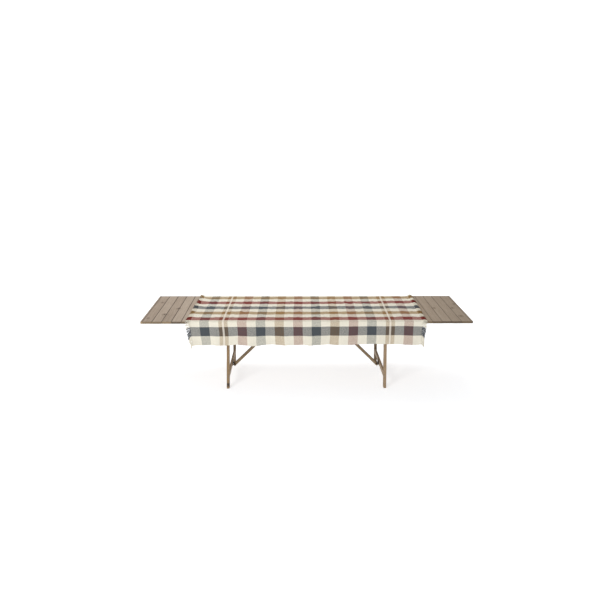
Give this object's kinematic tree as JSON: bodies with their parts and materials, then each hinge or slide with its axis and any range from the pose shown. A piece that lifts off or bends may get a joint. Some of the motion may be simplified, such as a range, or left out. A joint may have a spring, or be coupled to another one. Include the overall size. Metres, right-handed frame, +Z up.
{
  "type": "tablecloth on a folding table",
  "caption": "Plaid tablecloth in joined woven panels with fringed ends, draped over a long narrow board table with fold-out leg frames and diagonal braces.",
  "frame": {"origin": "on the floor, under the middle of the table top", "axes": "+X along the table, +Y across it towards its back, +Z up"},
  "size_m": [3.262, 0.92, 0.7518],
  "materials": {
    "board_wood": "matt, weathered",
    "rail_wood": "matt",
    "leg_wood": "matt, worn",
    "stretcher_wood": "matt, worn",
    "brace_wood": "matt, worn",
    "screw_steel": "dull",
    "bolt_steel": "dull, dark",
    "plaid_cloth": "plain weave, matt",
    "white_band": "plain weave, matt"
  },
  "bodies": {
    "table_top": {"board_01": "board_wood", "board_02": "board_wood", "board_03": "board_wood", "board_04": "board_wood", "board_05": "board_wood", "board_06": "board_wood", "board_07": "board_wood", "board_08": "board_wood", "board_09": "board_wood", "board_10": "board_wood", "board_11": "board_wood", "board_12": "board_wood", "board_13": "board_wood", "board_14": "board_wood", "board_15": "board_wood", "board_16": "board_wood", "board_17": "board_wood", "board_18": "board_wood", "board_19": "board_wood", "board_20": "board_wood", "board_21": "board_wood", "board_22": "board_wood", "board_23": "board_wood", "board_24": "board_wood", "board_25": "board_wood", "board_26": "board_wood", "board_27": "board_wood", "board_28": "board_wood", "board_29": "board_wood", "board_30": "board_wood", "board_31": "board_wood", "board_32": "board_wood", "board_33": "board_wood", "board_34": "board_wood", "rail_front": "rail_wood", "rail_back": "rail_wood", "pivot_batten_left": "rail_wood", "pivot_batten_right": "rail_wood", "brace_catch_block": "rail_wood", "top_screws": "screw_steel", "pivot_bolts": "bolt_steel"},
    "leg_frame_left": {"leg_left_front": "leg_wood", "leg_left_back": "leg_wood", "stretcher_left": "stretcher_wood", "frame_screws_left": "screw_steel", "brace_bracket_left": "bolt_steel", "brace_pin_left": "bolt_steel"},
    "brace_left": {"brace_left": "brace_wood"},
    "leg_frame_right": {"leg_right_front": "leg_wood", "leg_right_back": "leg_wood", "stretcher_right": "stretcher_wood", "frame_screws_right": "screw_steel", "brace_bracket_right": "bolt_steel", "brace_pin_right": "bolt_steel"},
    "brace_right": {"brace_right": "brace_wood"},
    "tablecloth": {"cloth_panel_left": "plaid_cloth", "cloth_panel_centre": "plaid_cloth", "cloth_panel_right": "plaid_cloth", "joining_band_left": "white_band", "joining_band_right": "white_band"}
  },
  "joints": [
    {"name": "leg_frame_left_fold", "type": "hinge", "parent": "table_top", "child": "leg_frame_left", "pos_m": [-0.787, 0, 0.672], "axis": [0, 1, 0], "range_deg": [0, 88]},
    {"name": "leg_frame_right_fold", "type": "hinge", "parent": "table_top", "child": "leg_frame_right", "pos_m": [0.787, 0, 0.672], "axis": [0, -1, 0], "range_deg": [0, 88]},
    {"name": "brace_left_swing", "type": "hinge", "parent": "leg_frame_left", "child": "brace_left", "pos_m": [-0.75982, 0, 0.12281], "axis": [0, 1, 0], "range_deg": [-41, 0]},
    {"name": "brace_right_swing", "type": "hinge", "parent": "leg_frame_right", "child": "brace_right", "pos_m": [0.75982, 0, 0.12281], "axis": [0, -1, 0], "range_deg": [-41, 0]},
    {"name": "tablecloth_lift", "type": "slide", "parent": "table_top", "child": "tablecloth", "axis": [0, 0, 1], "range_m": [0, 0.35]}
  ],
  "couplings": [
    {"joint": "brace_left_swing", "follows": "leg_frame_left_fold", "ratio": -0.455},
    {"joint": "brace_right_swing", "follows": "leg_frame_right_fold", "ratio": -0.455}
  ]
}
